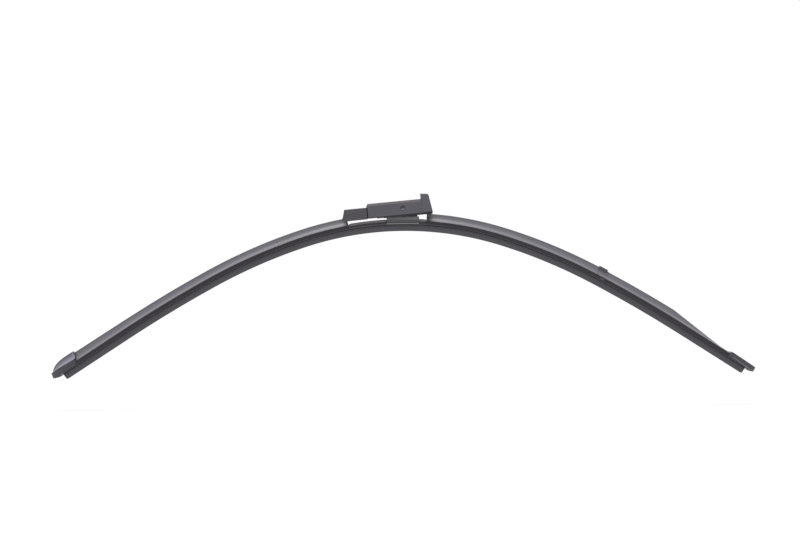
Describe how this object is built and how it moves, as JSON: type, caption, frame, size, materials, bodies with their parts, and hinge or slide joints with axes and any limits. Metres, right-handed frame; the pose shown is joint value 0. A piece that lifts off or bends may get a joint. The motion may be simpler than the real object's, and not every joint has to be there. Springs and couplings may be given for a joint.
{
  "type": "wiper blade",
  "caption": "Flat beam windscreen wiper blade: arched spring rails in a rubber strip, spoiler, end caps and a hinged adapter for the wiper arm.",
  "frame": {"origin": "middle of the blade on the hinge pin's axis", "axes": "+X along the blade towards the tapered end, +Z away from the glass, +Y to the rear of the spoiler"},
  "size_m": [0.6058, 0.019, 0.1567],
  "materials": {
    "wiper_rubber": "extruded natural rubber, satin, with a matt coated lip",
    "spring_steel": "blackened spring steel strip",
    "spoiler": "co-extruded elastomer, satin black",
    "clip": "moulded acetal, satin black",
    "cap": "moulded ABS, smooth satin black",
    "saddle": "glass-filled nylon, fine grain",
    "pin_steel": "turned steel",
    "adapter": "moulded acetal, fine spark-eroded grain"
  },
  "bodies": {
    "adapter": {"adapter_body": "adapter", "adapter_nose": "adapter"},
    "blade": {"wiper_rubber": "wiper_rubber", "rail_front": "spring_steel", "rail_rear": "spring_steel", "spoiler_left": "spoiler", "spoiler_middle": "spoiler", "spoiler_tapered": "spoiler", "rail_clip": "clip", "heel_cap": "cap", "tip_cap": "cap", "saddle": "saddle", "hinge_pin": "pin_steel"}
  },
  "joints": [
    {"name": "blade_hinge", "type": "hinge", "parent": "adapter", "child": "blade", "pos_m": [0, 0, 0], "axis": [0, 1, 0], "range_deg": [-5, 4]}
  ]
}
